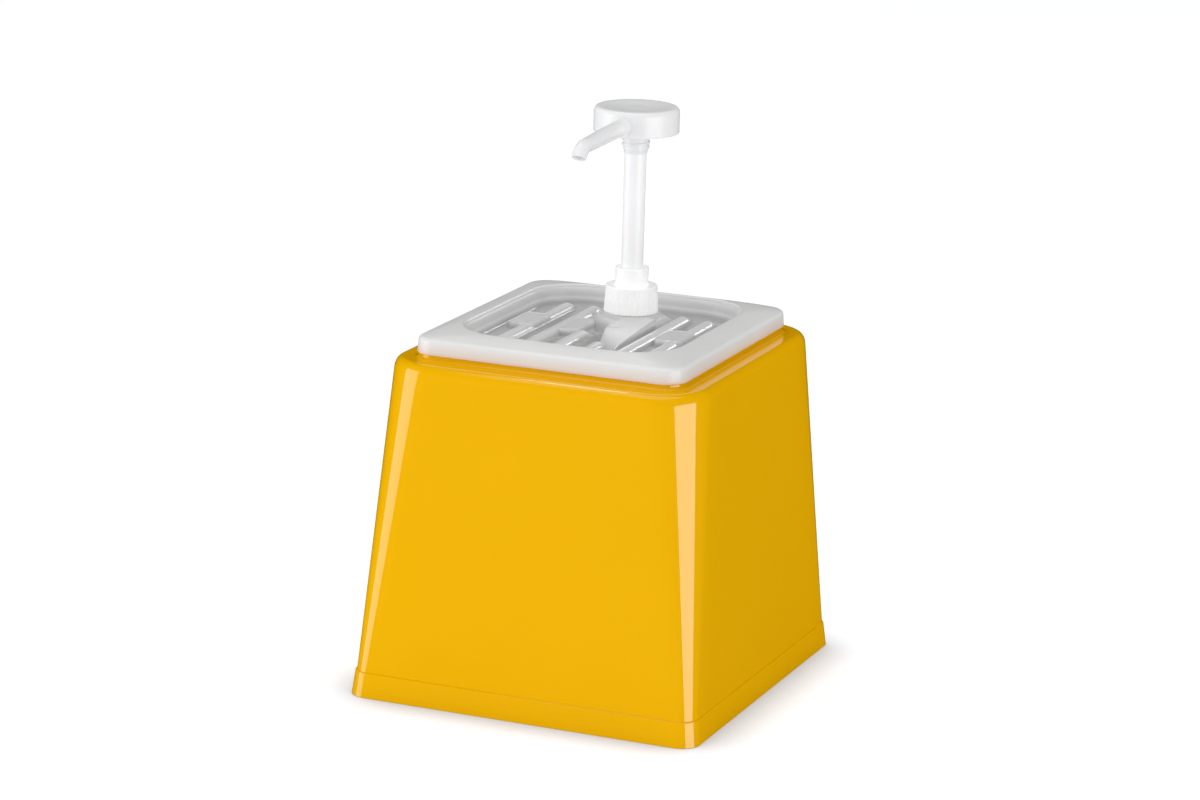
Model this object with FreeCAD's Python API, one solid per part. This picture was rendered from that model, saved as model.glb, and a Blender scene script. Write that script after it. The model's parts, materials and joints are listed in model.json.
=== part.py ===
import FreeCAD, Part
import os
from math import cos, pi, radians, sin

# Condiment pump dispenser: a tapered housing holding a sixth-size food pan, whose
# ribbed lid carries a large hand pump. Units are millimetres, +Z is up, and the
# origin is the centre of the housing's foot. Width runs along X, depth along Y,
# and the front, where the nozzle points, is -Y.

V = FreeCAD.Vector
os.makedirs("parts", exist_ok=True)

# --- Housing: width, depth and corner radius at each level -------------------
HOUSING_WALL = 3.0
SKIRT_FOOT = (212.2, 226.8, 11.5)
SKIRT_TOP = (208.7, 223.3, 11.0)
SKIRT_H = 14.5
WALL_FOOT = (207.2, 221.8, 10.4)
DECK = (188.4, 203.0, 29.6)
DECK_Z = 194.4
DECK_EDGE_R = 5.2
DECK_OPENING = (150.0, 164.0, 17.0)
OPENING_LIP = (5.0, 9.0)            # width and depth of the lip round the opening
RIM_OUTER = (160.6, 175.0, 12.6)    # raised rim on the deck that carries the lid
RIM_INNER = (155.0, 169.0, 12.0)
RIM_H = 3.2

# --- Food pan, one sixth size, 150 deep --------------------------------------
PAN_FLANGE = (154.2, 168.2, 11.6)
PAN_FLANGE_T = 3.2
PAN_DEPTH = 150.0
PAN_WALL = 2.4
PAN_MOUTH = (146.0, 160.0, 16.0)
PAN_SHOULDER = (144.5, 158.5, 16.0)
PAN_BELOW_SHOULDER = (138.0, 152.0, 15.0)
PAN_FLOOR = (122.0, 136.0, 14.0)
PAN_SHOULDER_DROP = (22.0, 25.0)    # below the flange: where it starts and ends
PAN_TOP_Z = DECK_Z + PAN_FLANGE_T

# --- Lid ---------------------------------------------------------------------
LID_FOOT = (162.0, 176.6, 13.2)
LID_TOP = (161.0, 175.6, 12.7)
LID_T = 2.0
LID_EDGE_Z = 206.8                  # top of the outer side, where the sloping border starts
LID_TOP_Z = 210.0                   # crest of the border, round the recess
LID_EDGE_R = 2.2
RECESS_TOP = (129.0, 146.4, 30.0)
RECESS_FLOOR = (122.5, 138.5, 26.0)
RECESS_LIP = 1.5
PANEL_Z = 199.0
RIB_H = 4.0
RIB_W = 10.0
RIBS = [                            # centre x, first y, last y
    (-45.0, -64.0, 60.0),
    (-27.0, -64.0, 60.0),
    (-9.0, -64.0, 0.0),
    (9.0, -62.0, -22.0),
    (27.0, -64.0, 60.0),
    (45.0, -64.0, 60.0),
]
PADS = [                            # centre x, centre y, width, depth
    (-48.5, 4.0, 17.0, 31.0),
    (-19.0, 4.0, 15.0, 33.0),
    (41.0, 4.0, 19.0, 31.0),
]
TONGUE_X = (2.0, 21.0)
TONGUE_Y = (-42.0, 30.0)
TONGUE_Z = (200.4, 204.6)

# --- Pump axis and the screw neck on the lid ---------------------------------
PUMP_Y = 40.0
BOSS_TOP_Z = 205.2
BOSS_R = (19.5, 17.2)
NECK_TOP_Z = 215.2
NECK_R = 12.4
NECK_BORE_R = 11.3
NECK_CREST_R = 13.5
CAP_BORE_R = 13.9
CAP_CREST_R = 12.8
THREAD_PITCH = 3.0

# --- Pump stack above the neck -----------------------------------------------
WASHER_T = 1.5
FLANGE_T = 1.5
COLLAR_FLANGE_T = 1.2
FLANGE_R = 13.3
FLANGE_Z = NECK_TOP_Z + WASHER_T
COLLAR_FLANGE_Z = FLANGE_Z + FLANGE_T
CAP_WEB_Z = COLLAR_FLANGE_Z + COLLAR_FLANGE_T + 0.1
CAP_BOTTOM_Z = 205.6
CAP_TOP_Z = 221.2
CAP_R = (15.8, 15.0)
CAP_HOLE_R = 10.0
CAP_FLUTES = 40
FLUTE_DEPTH = 0.45
COLLAR_R = (9.35, 9.85)
COLLAR_TOP_Z = 231.6
COLLAR_RECESS_R = 8.5
COLLAR_RECESS_Z = 223.6
COLLAR_PLUG_Z = 209.0
WIPER_T = 2.2

# --- Cylinder, valves and dip tube -------------------------------------------
CYLINDER_R = 11.0
CYLINDER_BORE_R = 9.8
CYLINDER_END_Z = 106.0
CYLINDER_FLOOR_Z = 112.0
CHAMBER_R = 5.2
CHAMBER_Z = 101.0
CHAMBER_WALL = 1.6
INLET_HOLE_R = 2.6
SPIGOT_Z = 82.0
SPIGOT_R = 6.1
BALL_R = 3.6
DIP_TUBE_R = 4.5
DIP_TUBE_BORE_R = 3.3
DIP_TUBE_Z = (54.0, 97.0)
DIP_TUBE_NOTCH = (3.0, 4.0)         # half width and height of the notches at its foot
VENT_R = 0.9
VENT_Z = 192.0

# --- Piston and spring -------------------------------------------------------
PISTON_Z = (196.0, 208.0)
PISTON_R = 9.72
PISTON_SOCKET_Z = 200.0
SEAL_R = 0.85
SEAL_RISE = 3.0                     # seal's centre above the piston's foot
GROOVE_HALF = 1.2
GUIDE_RING_DROP = 4.2               # guide ring's lower edge below the piston's top
GUIDE_RING_W = 2.4
SPRING_WIRE_R = 0.7
SPRING_R = 8.3
SPRING_TURNS = 11

# --- Stem and head -----------------------------------------------------------
STEM_R = 6.325
STEM_BORE_R = 4.2
STEM_TOP_Z = 312.0
OUTLET_CAGE_Z = 207.1
OUTLET_CAGE_H = 2.5
HEAD_R = 24.7
HEAD_Z = (310.9, 325.7)
HEAD_WALL = 2.2
HEAD_DISH = 0.9
NECK_BOTTOM_Z = 298.6
NOZZLE_Z = 318.0
NOZZLE_FALL = 2.4                   # degrees below level
NOZZLE_REACH = 75.0                 # along the nozzle from the axis to the bend
NOZZLE_BEND_R = 12.0
NOZZLE_BEND = 55.6                  # degrees turned in the bend
NOZZLE_R = (5.9, 4.7, 4.2)          # at the axis, part way along and at the mouth
NOZZLE_BORE_R = (3.5, 3.3, 3.2)


def rounded_rect(size, z, centre=(0.0, 0.0)):
    """Closed wire of a rectangle with rounded corners, level at height z."""
    width, depth, r = size
    cx, cy = centre
    x, y = width / 2, depth / 2
    edges = []
    corners = [(x - r, y - r, 0), (-x + r, y - r, 90), (-x + r, -y + r, 180), (x - r, -y + r, 270)]
    arcs = []
    for px, py, start in corners:
        points = []
        for angle in (start, start + 45, start + 90):
            points.append(V(cx + px + r * cos(radians(angle)), cy + py + r * sin(radians(angle)), z))
        arcs.append(points)
    for i, points in enumerate(arcs):
        edges.append(Part.Arc(*points).toShape())
        edges.append(Part.makeLine(points[2], arcs[(i + 1) % 4][0]))
    return Part.Wire(edges)


def frustum(lower, z_lower, upper, z_upper, centre=(0.0, 0.0)):
    """Solid between two rounded rectangles."""
    wires = [rounded_rect(lower, z_lower, centre), rounded_rect(upper, z_upper, centre)]
    return Part.makeLoft(wires, True, True)


def grown(size, margin):
    """The same rounded rectangle with its outline moved out by a margin."""
    width, depth, r = size
    return (width + 2 * margin, depth + 2 * margin, r + margin)


def between(lower, z_lower, upper, z_upper, z):
    """Rounded rectangle of a straight taper at height z."""
    t = (z - z_lower) / (z_upper - z_lower)
    return tuple(a + (b - a) * t for a, b in zip(lower, upper))


def turned(points):
    """Solid turned about the pump axis from a closed outline of radius and height."""
    corners = [V(r, 0, z) for r, z in points]
    face = Part.Face(Part.makePolygon(corners + corners[:1]))
    solid = face.revolve(V(0, 0, 0), V(0, 0, 1), 360)
    solid.translate(V(0, PUMP_Y, 0))
    return solid


def ring(r_in, r_out, z_low, z_high):
    """Plain tube about the pump axis."""
    return turned([(r_in, z_low), (r_out, z_low), (r_out, z_high), (r_in, z_high)])


def rod(r, z_low, z_high):
    """Plain cylinder on the pump axis."""
    return Part.makeCylinder(r, z_high - z_low, V(0, PUMP_Y, z_low))


def thread_ridge(root_r, crest_r, pitch, z_start, turns, root_w, crest_w):
    """Right-hand helical ridge about the pump axis, sunk slightly into its wall."""
    sink = 0.3 if crest_r < root_r else -0.3
    helix = Part.makeHelix(pitch, pitch * turns, root_r)
    outline = Part.makePolygon([
        V(root_r + sink, 0, -root_w / 2),
        V(crest_r, 0, -crest_w / 2),
        V(crest_r, 0, crest_w / 2),
        V(root_r + sink, 0, root_w / 2),
        V(root_r + sink, 0, -root_w / 2),
    ])
    ridge = Part.Wire(helix).makePipeShell([outline], True, True)
    ridge.translate(V(0, PUMP_Y, z_start))
    return ridge


def level_edges(shape, z, tolerance=1e-4):
    """Edges that lie flat at height z."""
    found = []
    for edge in shape.Edges:
        box = edge.BoundBox
        if abs(box.ZMin - z) < tolerance and abs(box.ZMax - z) < tolerance:
            found.append(edge)
    return found


def wall_at(z):
    """Outline of the housing's wall at height z."""
    return between(WALL_FOOT, SKIRT_H, DECK, DECK_Z, z)


def housing_shell():
    skirt = frustum(SKIRT_FOOT, 0, SKIRT_TOP, SKIRT_H)
    skirt = skirt.makeFillet(0.7, level_edges(skirt, SKIRT_H))
    wall_start = SKIRT_H - 4.0
    wall = frustum(wall_at(wall_start), wall_start, DECK, DECK_Z)
    wall = wall.makeFillet(DECK_EDGE_R, level_edges(wall, DECK_Z))
    ceiling = DECK_Z - HOUSING_WALL
    cavity = frustum(grown(wall_at(wall_start), -HOUSING_WALL), wall_start,
                     grown(wall_at(ceiling), -HOUSING_WALL), ceiling)
    foot_cavity = frustum(grown(SKIRT_FOOT, -HOUSING_WALL), 0,
                          grown(SKIRT_TOP, -HOUSING_WALL), SKIRT_H - 2.0)
    lip_w, lip_h = OPENING_LIP
    lip = frustum(grown(DECK_OPENING, lip_w / 2), ceiling - lip_h, grown(DECK_OPENING, lip_w / 2), ceiling)
    opening = frustum(DECK_OPENING, ceiling - 2 * lip_h, DECK_OPENING, DECK_Z + 1)
    rim = frustum(RIM_OUTER, DECK_Z - 1, RIM_OUTER, DECK_Z + RIM_H)
    rim = rim.cut(frustum(RIM_INNER, DECK_Z, RIM_INNER, DECK_Z + RIM_H + 1))
    shell = skirt.fuse(wall).cut(cavity).cut(foot_cavity)
    return shell.fuse([lip, rim]).cut(opening).removeSplitter()


def pan_levels(margin, floor_z):
    """Tapered solid of the pan's body, its outline moved by a margin."""
    start, end = PAN_SHOULDER_DROP
    upper = frustum(grown(PAN_SHOULDER, margin), DECK_Z - start, grown(PAN_MOUTH, margin), PAN_TOP_Z)
    shoulder = frustum(grown(PAN_BELOW_SHOULDER, margin), DECK_Z - end,
                       grown(PAN_SHOULDER, margin), DECK_Z - start)
    floor = grown(PAN_FLOOR, margin)
    lower = frustum(floor, floor_z, grown(PAN_BELOW_SHOULDER, margin), DECK_Z - end)
    lower = lower.makeFillet(8.0 + margin, level_edges(lower, floor_z))
    return upper.fuse([shoulder, lower])


def food_container():
    floor_z = PAN_TOP_Z - PAN_DEPTH
    flange = frustum(PAN_FLANGE, DECK_Z, PAN_FLANGE, PAN_TOP_Z)
    flange = flange.makeFillet(1.0, level_edges(flange, PAN_TOP_Z))
    body = flange.fuse(pan_levels(0, floor_z))
    return body.cut(pan_levels(-PAN_WALL, floor_z + PAN_WALL)).removeSplitter()


def rib(x, y_first, y_last, width, z_foot, height):
    """Round-topped ridge running along Y."""
    arc = Part.Arc(V(x - width / 2, y_first, z_foot), V(x, y_first, z_foot + height),
                   V(x + width / 2, y_first, z_foot)).toShape()
    foot = Part.makeLine(V(x + width / 2, y_first, z_foot), V(x - width / 2, y_first, z_foot))
    return Part.Face(Part.Wire([arc, foot])).extrude(V(0, y_last - y_first, 0))


def pad(x, y, width, depth, z_foot, height):
    """Flat-topped raised patch between the ribs."""
    size = (width, depth, 3.0)
    return frustum(size, z_foot, grown(size, -1.0), z_foot + height, (x, y))


def tongue(drop, inset):
    """Ramp that falls from the boss to the front of the panel."""
    x0, x1 = TONGUE_X[0] + inset, TONGUE_X[1] - inset
    y0, y1 = TONGUE_Y
    z0, z1 = TONGUE_Z
    foot = PANEL_Z - drop - 0.5
    corners = [V(x0, y1, foot), V(x0, y1, z1 - drop), V(x0, y0 + 2 * inset, z0 - drop),
               V(x0, y0 - 8 + 2 * inset, foot)]
    return Part.Face(Part.makePolygon(corners + corners[:1])).extrude(V(x1 - x0, 0, 0))


def lid_tray():
    """Border, outer rim and recessed panel, one wall thick."""
    side = frustum(LID_FOOT, PAN_TOP_Z, LID_TOP, LID_EDGE_Z)
    crest = grown(RECESS_TOP, RECESS_LIP)
    outer = side.fuse(frustum(LID_TOP, LID_EDGE_Z, crest, LID_TOP_Z))
    outer = outer.makeFillet(LID_EDGE_R, level_edges(outer, LID_EDGE_Z))
    inside = grown(LID_TOP, -LID_T)
    hollow = frustum(grown(LID_FOOT, -LID_T), PAN_TOP_Z - 1, inside, LID_EDGE_Z - LID_T)
    hollow = hollow.fuse(frustum(inside, LID_EDGE_Z - LID_T, crest, LID_TOP_Z - LID_T))
    tub = frustum(grown(RECESS_FLOOR, LID_T), PANEL_Z - LID_T, grown(RECESS_TOP, LID_T), LID_TOP_Z - 0.6)
    recess = frustum(RECESS_FLOOR, PANEL_Z, RECESS_TOP, LID_TOP_Z)
    recess_above = frustum(RECESS_TOP, LID_TOP_Z, RECESS_TOP, LID_TOP_Z + 1)
    return outer.cut(hollow).fuse(tub).cut(recess.fuse(recess_above))


def lid():
    underside = PANEL_Z - LID_T
    raised = []
    hollows = []
    for x, y_first, y_last in RIBS:
        raised.append(rib(x, y_first, y_last, RIB_W, PANEL_Z - 0.2, RIB_H + 0.2))
        hollows.append(rib(x, y_first + LID_T, y_last - LID_T, RIB_W - 2 * LID_T, underside - 0.2, RIB_H))
    for x, y, width, depth in PADS:
        raised.append(pad(x, y, width, depth, PANEL_Z - 0.2, RIB_H + 0.1))
    raised.append(tongue(0, 0))
    hollows.append(tongue(LID_T, LID_T))
    neck_outer = turned([
        (0, underside), (BOSS_R[0], underside), (BOSS_R[1], BOSS_TOP_Z), (NECK_R, BOSS_TOP_Z),
        (NECK_R, NECK_TOP_Z), (0, NECK_TOP_Z),
    ])
    boss_hollow = turned([
        (NECK_BORE_R + LID_T, underside - 1), (BOSS_R[0] - LID_T, underside - 1),
        (BOSS_R[1] - LID_T, BOSS_TOP_Z - LID_T), (NECK_BORE_R + LID_T, BOSS_TOP_Z - LID_T),
    ])
    shape = lid_tray().fuse(raised)
    for hollow in hollows:
        shape = shape.cut(hollow)
    shape = shape.fuse(neck_outer).cut(boss_hollow)
    shape = shape.cut(rod(NECK_BORE_R, underside - 20, NECK_TOP_Z + 1))
    thread = thread_ridge(NECK_R, NECK_CREST_R, THREAD_PITCH, BOSS_TOP_Z + 2.2, 2.0, 1.4, 0.9)
    return shape.fuse(thread)


def fluted_skin():
    """Closure's outside: fluted below, plain and rounded above."""
    flute_top = CAP_BOTTOM_Z + 0.8 * (CAP_TOP_Z - CAP_BOTTOM_Z)
    wires = []
    for z, r in ((CAP_BOTTOM_Z, CAP_R[0]), (flute_top, CAP_R[0] * 0.2 + CAP_R[1] * 0.8)):
        points = []
        for i in range(4 * CAP_FLUTES):
            reach = r if i % 4 in (0, 1) else r - FLUTE_DEPTH
            angle = 2 * pi * (i + 0.5 * (i % 2)) / (4 * CAP_FLUTES)
            points.append(V(reach * cos(angle), PUMP_Y + reach * sin(angle), z))
        wires.append(Part.makePolygon(points + points[:1]))
    fluted = Part.makeLoft(wires, True, True)
    top_r = CAP_R[1]
    plain = turned([
        (0, CAP_BOTTOM_Z + 0.4), (CAP_R[0] - FLUTE_DEPTH, CAP_BOTTOM_Z + 0.4), (top_r + 0.1, flute_top - 0.4),
        (top_r, CAP_TOP_Z - 1.2), (top_r - 0.5, CAP_TOP_Z - 0.4), (top_r - 1.2, CAP_TOP_Z), (0, CAP_TOP_Z),
    ])
    return fluted.fuse(plain)


def screw_cap():
    bore = rod(CAP_BORE_R, CAP_BOTTOM_Z - 1, CAP_WEB_Z)
    hole = rod(CAP_HOLE_R, CAP_WEB_Z - 1, CAP_TOP_Z + 1)
    shape = fluted_skin().cut(bore).cut(hole)
    thread = thread_ridge(CAP_BORE_R, CAP_CREST_R, THREAD_PITCH, BOSS_TOP_Z + 3.7, 1.4, 1.4, 0.8)
    return shape.fuse(thread)


def stem_collar():
    guide_r = STEM_R + 0.08
    body = turned([
        (guide_r, COLLAR_PLUG_Z), (CYLINDER_BORE_R - 0.05, COLLAR_PLUG_Z),
        (CYLINDER_BORE_R - 0.05, COLLAR_FLANGE_Z), (FLANGE_R - 1.0, COLLAR_FLANGE_Z),
        (FLANGE_R - 1.0, COLLAR_FLANGE_Z + COLLAR_FLANGE_T), (COLLAR_R[0], COLLAR_FLANGE_Z + COLLAR_FLANGE_T),
        (COLLAR_R[0], CAP_TOP_Z), (COLLAR_R[1], COLLAR_TOP_Z - 0.3), (COLLAR_R[1] - 0.3, COLLAR_TOP_Z),
        (COLLAR_RECESS_R, COLLAR_TOP_Z), (COLLAR_RECESS_R, COLLAR_RECESS_Z), (guide_r, COLLAR_RECESS_Z),
    ])
    lock_thread = thread_ridge(COLLAR_RECESS_R, 7.9, 3.4, COLLAR_RECESS_Z + 3.0, 1.1, 1.3, 0.7)
    return body.fuse(lock_thread)


def stem_wiper():
    z = COLLAR_RECESS_Z
    return turned([
        (STEM_R + 0.05, z + 0.9), (STEM_R + 0.5, z), (COLLAR_RECESS_R - 0.05, z),
        (COLLAR_RECESS_R - 0.05, z + 1.4), (STEM_R + 0.9, z + WIPER_T), (STEM_R + 0.05, z + WIPER_T),
    ])


def sealing_washer():
    return ring(NECK_BORE_R + 0.2, FLANGE_R, NECK_TOP_Z, NECK_TOP_Z + WASHER_T)


def pump_cylinder():
    body = turned([
        (CYLINDER_BORE_R, CYLINDER_END_Z), (CYLINDER_R, CYLINDER_END_Z), (CYLINDER_R, FLANGE_Z),
        (FLANGE_R, FLANGE_Z), (FLANGE_R, FLANGE_Z + FLANGE_T), (CYLINDER_BORE_R, FLANGE_Z + FLANGE_T),
    ])
    vent = Part.makeCylinder(VENT_R, 6, V(0, PUMP_Y - CYLINDER_R - 2, VENT_Z), V(0, 1, 0))
    return body.cut(vent)


def valve_body():
    """Plug in the cylinder's foot: ball chamber, valve seat and dip tube spigot."""
    chamber_out = CHAMBER_R + CHAMBER_WALL
    plug_r = CYLINDER_BORE_R - 0.02
    socket_r = DIP_TUBE_R + 0.02
    return turned([
        (socket_r, SPIGOT_Z), (SPIGOT_R, SPIGOT_Z), (SPIGOT_R, CHAMBER_Z - 3), (chamber_out, CHAMBER_Z - 1),
        (chamber_out, CYLINDER_END_Z - 2.5), (CYLINDER_R, CYLINDER_END_Z - 1.5), (CYLINDER_R, CYLINDER_END_Z),
        (plug_r, CYLINDER_END_Z), (plug_r, CYLINDER_FLOOR_Z), (CHAMBER_R, CYLINDER_FLOOR_Z),
        (CHAMBER_R, CHAMBER_Z + 2.6), (INLET_HOLE_R, CHAMBER_Z), (INLET_HOLE_R, DIP_TUBE_Z[1]),
        (socket_r, DIP_TUBE_Z[1]),
    ])


def slotted(body, reach, width, z_low, height):
    """Three passages cut outwards from the axis through a turned piece."""
    for turn in range(3):
        slot = Part.makeBox(reach, width, height, V(1.0, -width / 2, z_low))
        slot.rotate(V(0, 0, 0), V(0, 0, 1), 120 * turn)
        slot.translate(V(0, PUMP_Y, 0))
        body = body.cut(slot)
    return body


def ball_cage():
    """Retainer pressed over the ball chamber; its rim seats the spring."""
    z = CYLINDER_FLOOR_Z
    body = turned([
        (1.6, z - 1.6), (CHAMBER_R - 0.02, z - 1.6), (CHAMBER_R - 0.02, z), (CYLINDER_BORE_R - 0.2, z),
        (CYLINDER_BORE_R - 0.2, z + 1.5), (6.2, z + 1.5), (6.2, z + 4.0), (5.4, z + 4.0), (4.6, z + 0.4),
        (1.6, z + 0.4),
    ])
    return slotted(body, 3.4, 1.6, z - 2.0, 4.0)


def check_ball(seat_z, hole_r):
    """Ball resting on a 45 degree seat that opens out of a hole."""
    centre_z = seat_z - hole_r + BALL_R * 2 ** 0.5
    return Part.makeSphere(BALL_R, V(0, PUMP_Y, centre_z + 0.02))


def dip_tube():
    low, high = DIP_TUBE_Z
    half, height = DIP_TUBE_NOTCH
    reach = 2 * DIP_TUBE_R
    outline = Part.makePolygon([
        V(-reach, -half, low - 1), V(-reach, half, low - 1), V(-reach, 0, low + height),
        V(-reach, -half, low - 1),
    ])
    tube = ring(DIP_TUBE_BORE_R, DIP_TUBE_R, low, high)
    for angle in (0, 90):
        notch = Part.Face(outline).extrude(V(2 * reach, 0, 0))
        notch.rotate(V(0, 0, 0), V(0, 0, 1), angle)
        notch.translate(V(0, PUMP_Y, 0))
        tube = tube.cut(notch)
    return tube


def return_spring():
    low = CYLINDER_FLOOR_Z + 1.5 + SPRING_WIRE_R
    high = PISTON_Z[0] - SPRING_WIRE_R
    height = high - low
    helix = Part.makeHelix(height / SPRING_TURNS, height, SPRING_R)
    wire = Part.Wire(Part.makeCircle(SPRING_WIRE_R, V(SPRING_R, 0, 0), V(0, 1, 0)))
    coil = Part.Wire(helix).makePipeShell([wire], True, True)
    coil.translate(V(0, PUMP_Y, low))
    return coil


def piston():
    low, high = PISTON_Z
    socket = PISTON_SOCKET_Z
    seal_low = low + SEAL_RISE - GROOVE_HALF
    seal_high = low + SEAL_RISE + GROOVE_HALF
    guide_z = high - GUIDE_RING_DROP
    return turned([
        (INLET_HOLE_R, low), (PISTON_R, low), (PISTON_R, seal_low), (PISTON_R - 1.7, seal_low),
        (PISTON_R - 1.7, seal_high), (PISTON_R, seal_high), (PISTON_R, guide_z),
        (PISTON_R - 1.2, guide_z), (PISTON_R - 1.2, guide_z + GUIDE_RING_W), (PISTON_R, guide_z + GUIDE_RING_W),
        (PISTON_R, high), (STEM_R + 0.06, high), (STEM_R + 0.06, socket), (INLET_HOLE_R + 1.6, socket),
        (INLET_HOLE_R, socket - 1.6),
    ])


def piston_seal():
    z = PISTON_Z[0] + SEAL_RISE
    r = CYLINDER_BORE_R - 0.02 - SEAL_R
    section = Part.Wire(Part.makeCircle(SEAL_R, V(r, 0, z), V(0, 1, 0)))
    seal = Part.Face(section).revolve(V(0, 0, 0), V(0, 0, 1), 360)
    seal.translate(V(0, PUMP_Y, 0))
    return seal


def guide_ring():
    z = PISTON_Z[1] - GUIDE_RING_DROP
    return ring(PISTON_R - 1.15, CYLINDER_BORE_R - 0.03, z + 0.1, z + GUIDE_RING_W - 0.1)


def outlet_cage():
    """Stop pressed into the stem that keeps the discharge ball near its seat."""
    low = OUTLET_CAGE_Z
    body = ring(1.4, STEM_BORE_R - 0.01, low, low + OUTLET_CAGE_H)
    return slotted(body, 2.2, 1.5, low - 1.0, OUTLET_CAGE_H + 2.0)


def stem():
    return ring(STEM_BORE_R, STEM_R, PISTON_SOCKET_Z + 0.1, STEM_TOP_Z)


def head_body():
    """Round press head with its open underside, dished top and threaded neck."""
    low, high = HEAD_Z
    wall = HEAD_WALL
    return turned([
        (0, NECK_BOTTOM_Z), (6.9, NECK_BOTTOM_Z), (7.25, 303.4), (7.45, 308.0), (9.0, low),
        (9.0, high - wall - 1.4), (HEAD_R - wall, high - wall - 1.4), (HEAD_R - wall, low), (HEAD_R, low),
        (HEAD_R, high - 4.0), (HEAD_R - 0.6, high - 2.2), (HEAD_R - 2.0, high - 0.7), (HEAD_R - 4.0, high),
        (HEAD_R * 0.5, high - HEAD_DISH * 0.8), (0, high - HEAD_DISH),
    ])


def nozzle_runs(radii):
    """Straight runs and bend of a tube along the nozzle, as overlapping solids."""
    root_r, middle_r, end_r = radii
    fall = radians(NOZZLE_FALL)
    heading = V(0, -cos(fall), -sin(fall))
    root = V(0, PUMP_Y, NOZZLE_Z)
    middle = root + heading * PUMP_Y
    bend = root + heading * NOZZLE_REACH
    centre = bend + V(0, sin(fall), -cos(fall)) * NOZZLE_BEND_R
    disc = Part.Face(Part.Wire(Part.makeCircle(end_r, bend, heading)))
    turn = disc.revolve(centre, V(1, 0, 0), NOZZLE_BEND)
    return [
        Part.makeCone(root_r, middle_r, PUMP_Y, root, heading),
        Part.makeCone(middle_r, end_r, NOZZLE_REACH - PUMP_Y, middle, heading),
        turn,
    ]


def pump_head():
    socket = turned([
        (0, NECK_BOTTOM_Z - 1), (STEM_R + 0.02, NECK_BOTTOM_Z - 1), (STEM_R + 0.02, STEM_TOP_Z + 0.02),
        (STEM_BORE_R, STEM_TOP_Z + 0.02), (STEM_BORE_R, NOZZLE_Z + 2.0), (0, NOZZLE_Z + 2.0),
    ])
    shape = head_body().fuse(nozzle_runs(NOZZLE_R)).cut(socket)
    for run in nozzle_runs(NOZZLE_BORE_R):
        shape = shape.cut(run)
    thread = thread_ridge(7.35, 8.0, 3.4, 303.9, 1.6, 1.3, 0.7)
    return shape.fuse(thread)


PARTS = {
    "housing_shell": housing_shell,
    "food_container": food_container,
    "lid": lid,
    "screw_cap": screw_cap,
    "stem_collar": stem_collar,
    "stem_wiper": stem_wiper,
    "sealing_washer": sealing_washer,
    "pump_cylinder": pump_cylinder,
    "valve_body": valve_body,
    "ball_cage": ball_cage,
    "inlet_ball": lambda: check_ball(CHAMBER_Z, INLET_HOLE_R),
    "dip_tube": dip_tube,
    "return_spring": return_spring,
    "piston": piston,
    "piston_seal": piston_seal,
    "guide_ring": guide_ring,
    "outlet_ball": lambda: check_ball(PISTON_SOCKET_Z - 1.6, INLET_HOLE_R),
    "stem": stem,
    "outlet_cage": outlet_cage,
    "pump_head": pump_head,
}

for name, make in PARTS.items():
    shape = make()
    print(name, shape.ShapeType, len(shape.Solids), shape.isValid(), round(shape.Volume, 1))
    shape.exportStep(f"parts/{name}.step")
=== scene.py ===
import json
import math

import bpy
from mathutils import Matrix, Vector


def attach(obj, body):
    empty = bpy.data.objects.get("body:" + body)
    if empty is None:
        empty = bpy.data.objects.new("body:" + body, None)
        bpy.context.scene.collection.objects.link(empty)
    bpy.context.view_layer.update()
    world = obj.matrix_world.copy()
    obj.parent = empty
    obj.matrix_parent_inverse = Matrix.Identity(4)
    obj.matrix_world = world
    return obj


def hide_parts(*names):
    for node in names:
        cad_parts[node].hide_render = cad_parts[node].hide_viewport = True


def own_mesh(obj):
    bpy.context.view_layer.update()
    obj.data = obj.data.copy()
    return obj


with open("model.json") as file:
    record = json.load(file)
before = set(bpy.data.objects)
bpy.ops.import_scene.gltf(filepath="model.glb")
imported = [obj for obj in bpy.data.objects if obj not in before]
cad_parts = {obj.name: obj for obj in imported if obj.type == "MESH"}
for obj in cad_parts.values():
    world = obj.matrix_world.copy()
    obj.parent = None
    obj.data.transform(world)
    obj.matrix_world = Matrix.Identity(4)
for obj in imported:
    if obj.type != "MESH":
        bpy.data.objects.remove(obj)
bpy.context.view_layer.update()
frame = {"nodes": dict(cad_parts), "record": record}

MM = 0.001
PUMP_Y = 40.0            # the pump's axis is at x = 0, y = 40 mm; lengths are in millimetres


# ---------------------------------------------------------------- materials

def tone_by_height(tree, colour, tones):
    """Multiplies a colour by a ramp over height; tones lists (height in mm, tone)."""
    coords = tree.nodes.new("ShaderNodeTexCoord")
    axes = tree.nodes.new("ShaderNodeSeparateXYZ")
    tree.links.new(coords.outputs["Object"], axes.inputs["Vector"])
    low_z, high_z = tones[0][0], tones[-1][0]
    share = tree.nodes.new("ShaderNodeMapRange")
    share.inputs["From Min"].default_value = low_z * MM
    share.inputs["From Max"].default_value = high_z * MM
    tree.links.new(axes.outputs["Z"], share.inputs["Value"])
    ramp = tree.nodes.new("ShaderNodeValToRGB")
    stops = ramp.color_ramp.elements
    while len(stops) < len(tones):
        stops.new(0.5)
    for stop, (z, tone) in zip(stops, tones):
        stop.position = (z - low_z) / (high_z - low_z)
        stop.color = list(tone) + [1]
    tree.links.new(share.outputs["Result"], ramp.inputs["Fac"])
    mix = tree.nodes.new("ShaderNodeMix")
    mix.data_type, mix.blend_type = "RGBA", "MULTIPLY"
    mix.inputs["Factor"].default_value = 1.0
    tree.links.new(colour, mix.inputs["A"])
    tree.links.new(ramp.outputs["Color"], mix.inputs["B"])
    return mix.outputs["Result"]


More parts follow.
